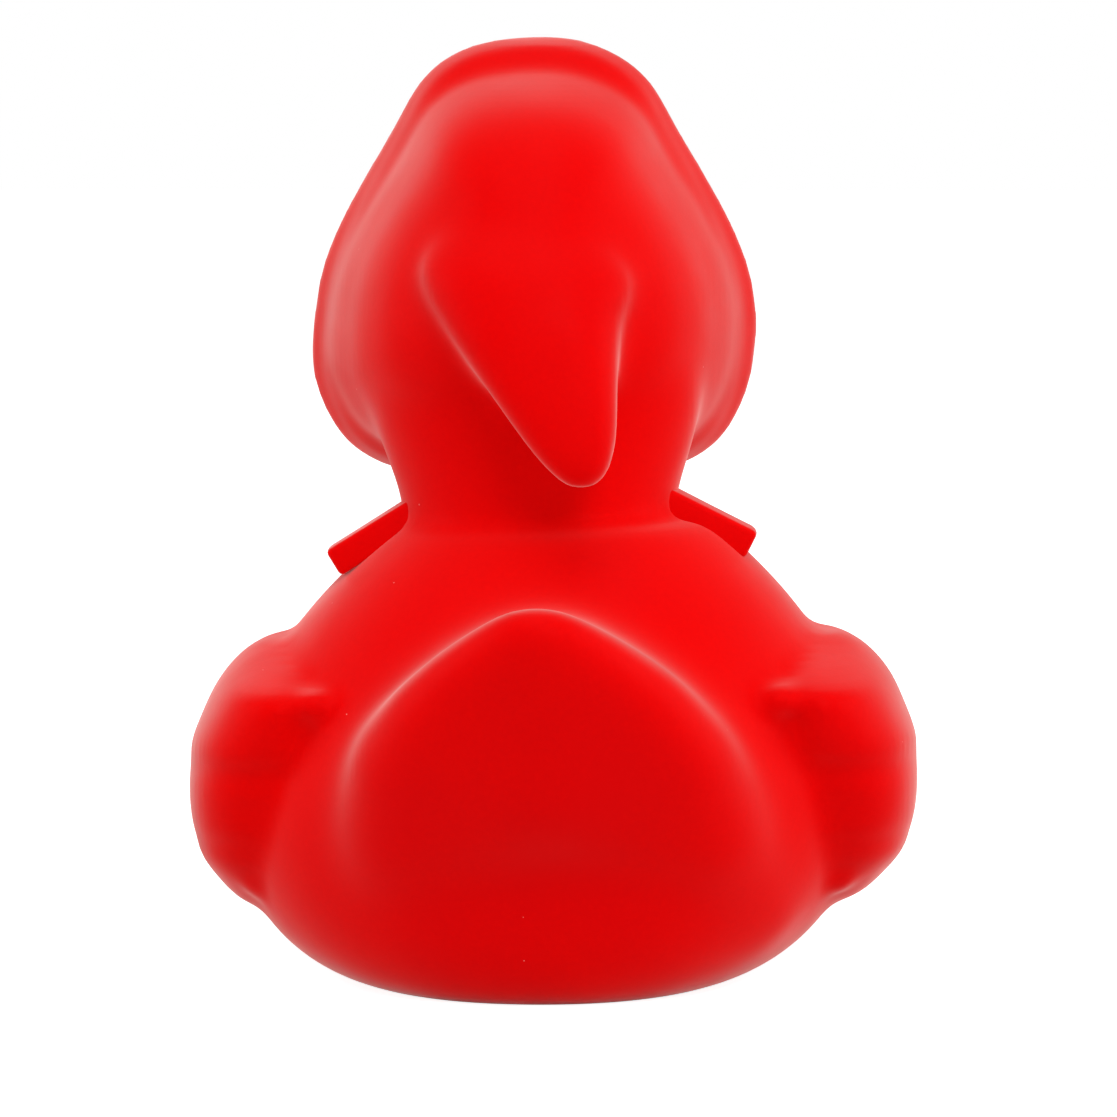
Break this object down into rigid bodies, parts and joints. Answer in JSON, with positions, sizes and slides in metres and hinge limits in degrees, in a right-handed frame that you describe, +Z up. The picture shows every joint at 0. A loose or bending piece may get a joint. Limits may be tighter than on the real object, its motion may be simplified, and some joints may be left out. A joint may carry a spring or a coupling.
{
  "type": "rubber duck",
  "caption": "Moulded soft vinyl bath duck in a hood whose pointed peak folds down the back, with a flat collar, folded wings and an upright tail, resting on its flat belly",
  "frame": {"origin": "centre of the flat oval resting face under the belly, on the surface the duck stands on", "axes": "+Z up, -Y the way the duck faces, +X its left side"},
  "size_m": [0.0805, 0.0797, 0.1026],
  "materials": {
    "red_vinyl": "matt, moulded"
  },
  "bodies": {
    "root": {"duck": "red_vinyl"}
  },
  "joints": []
}
